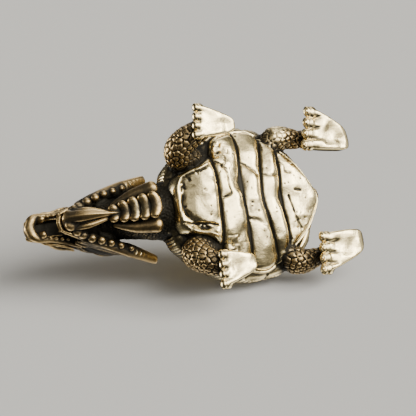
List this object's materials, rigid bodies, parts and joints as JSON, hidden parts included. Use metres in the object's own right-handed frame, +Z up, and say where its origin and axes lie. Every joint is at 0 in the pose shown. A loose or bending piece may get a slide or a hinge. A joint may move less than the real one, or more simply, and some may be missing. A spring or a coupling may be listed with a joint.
{
  "type": "dragon turtle figure",
  "caption": "Small solid cast brass dragon turtle that stands on its feet, with a horned and bearded head, a plated shell and a furrowed belly plate.",
  "frame": {"origin": "on the ground plane that the four soles touch, under the middle of the figure's length, in its plane of symmetry across", "axes": "+Z up, the head points to -Y and the tail to +Y, and the figure's left side is +X"},
  "size_m": [0.0277, 0.0474, 0.022],
  "materials": {
    "brass": "cast brass, polished pale on the soles, belly and high places, with dark brown patina in the recesses"
  },
  "bodies": {
    "root": {"dragon_turtle": "brass"}
  },
  "joints": []
}
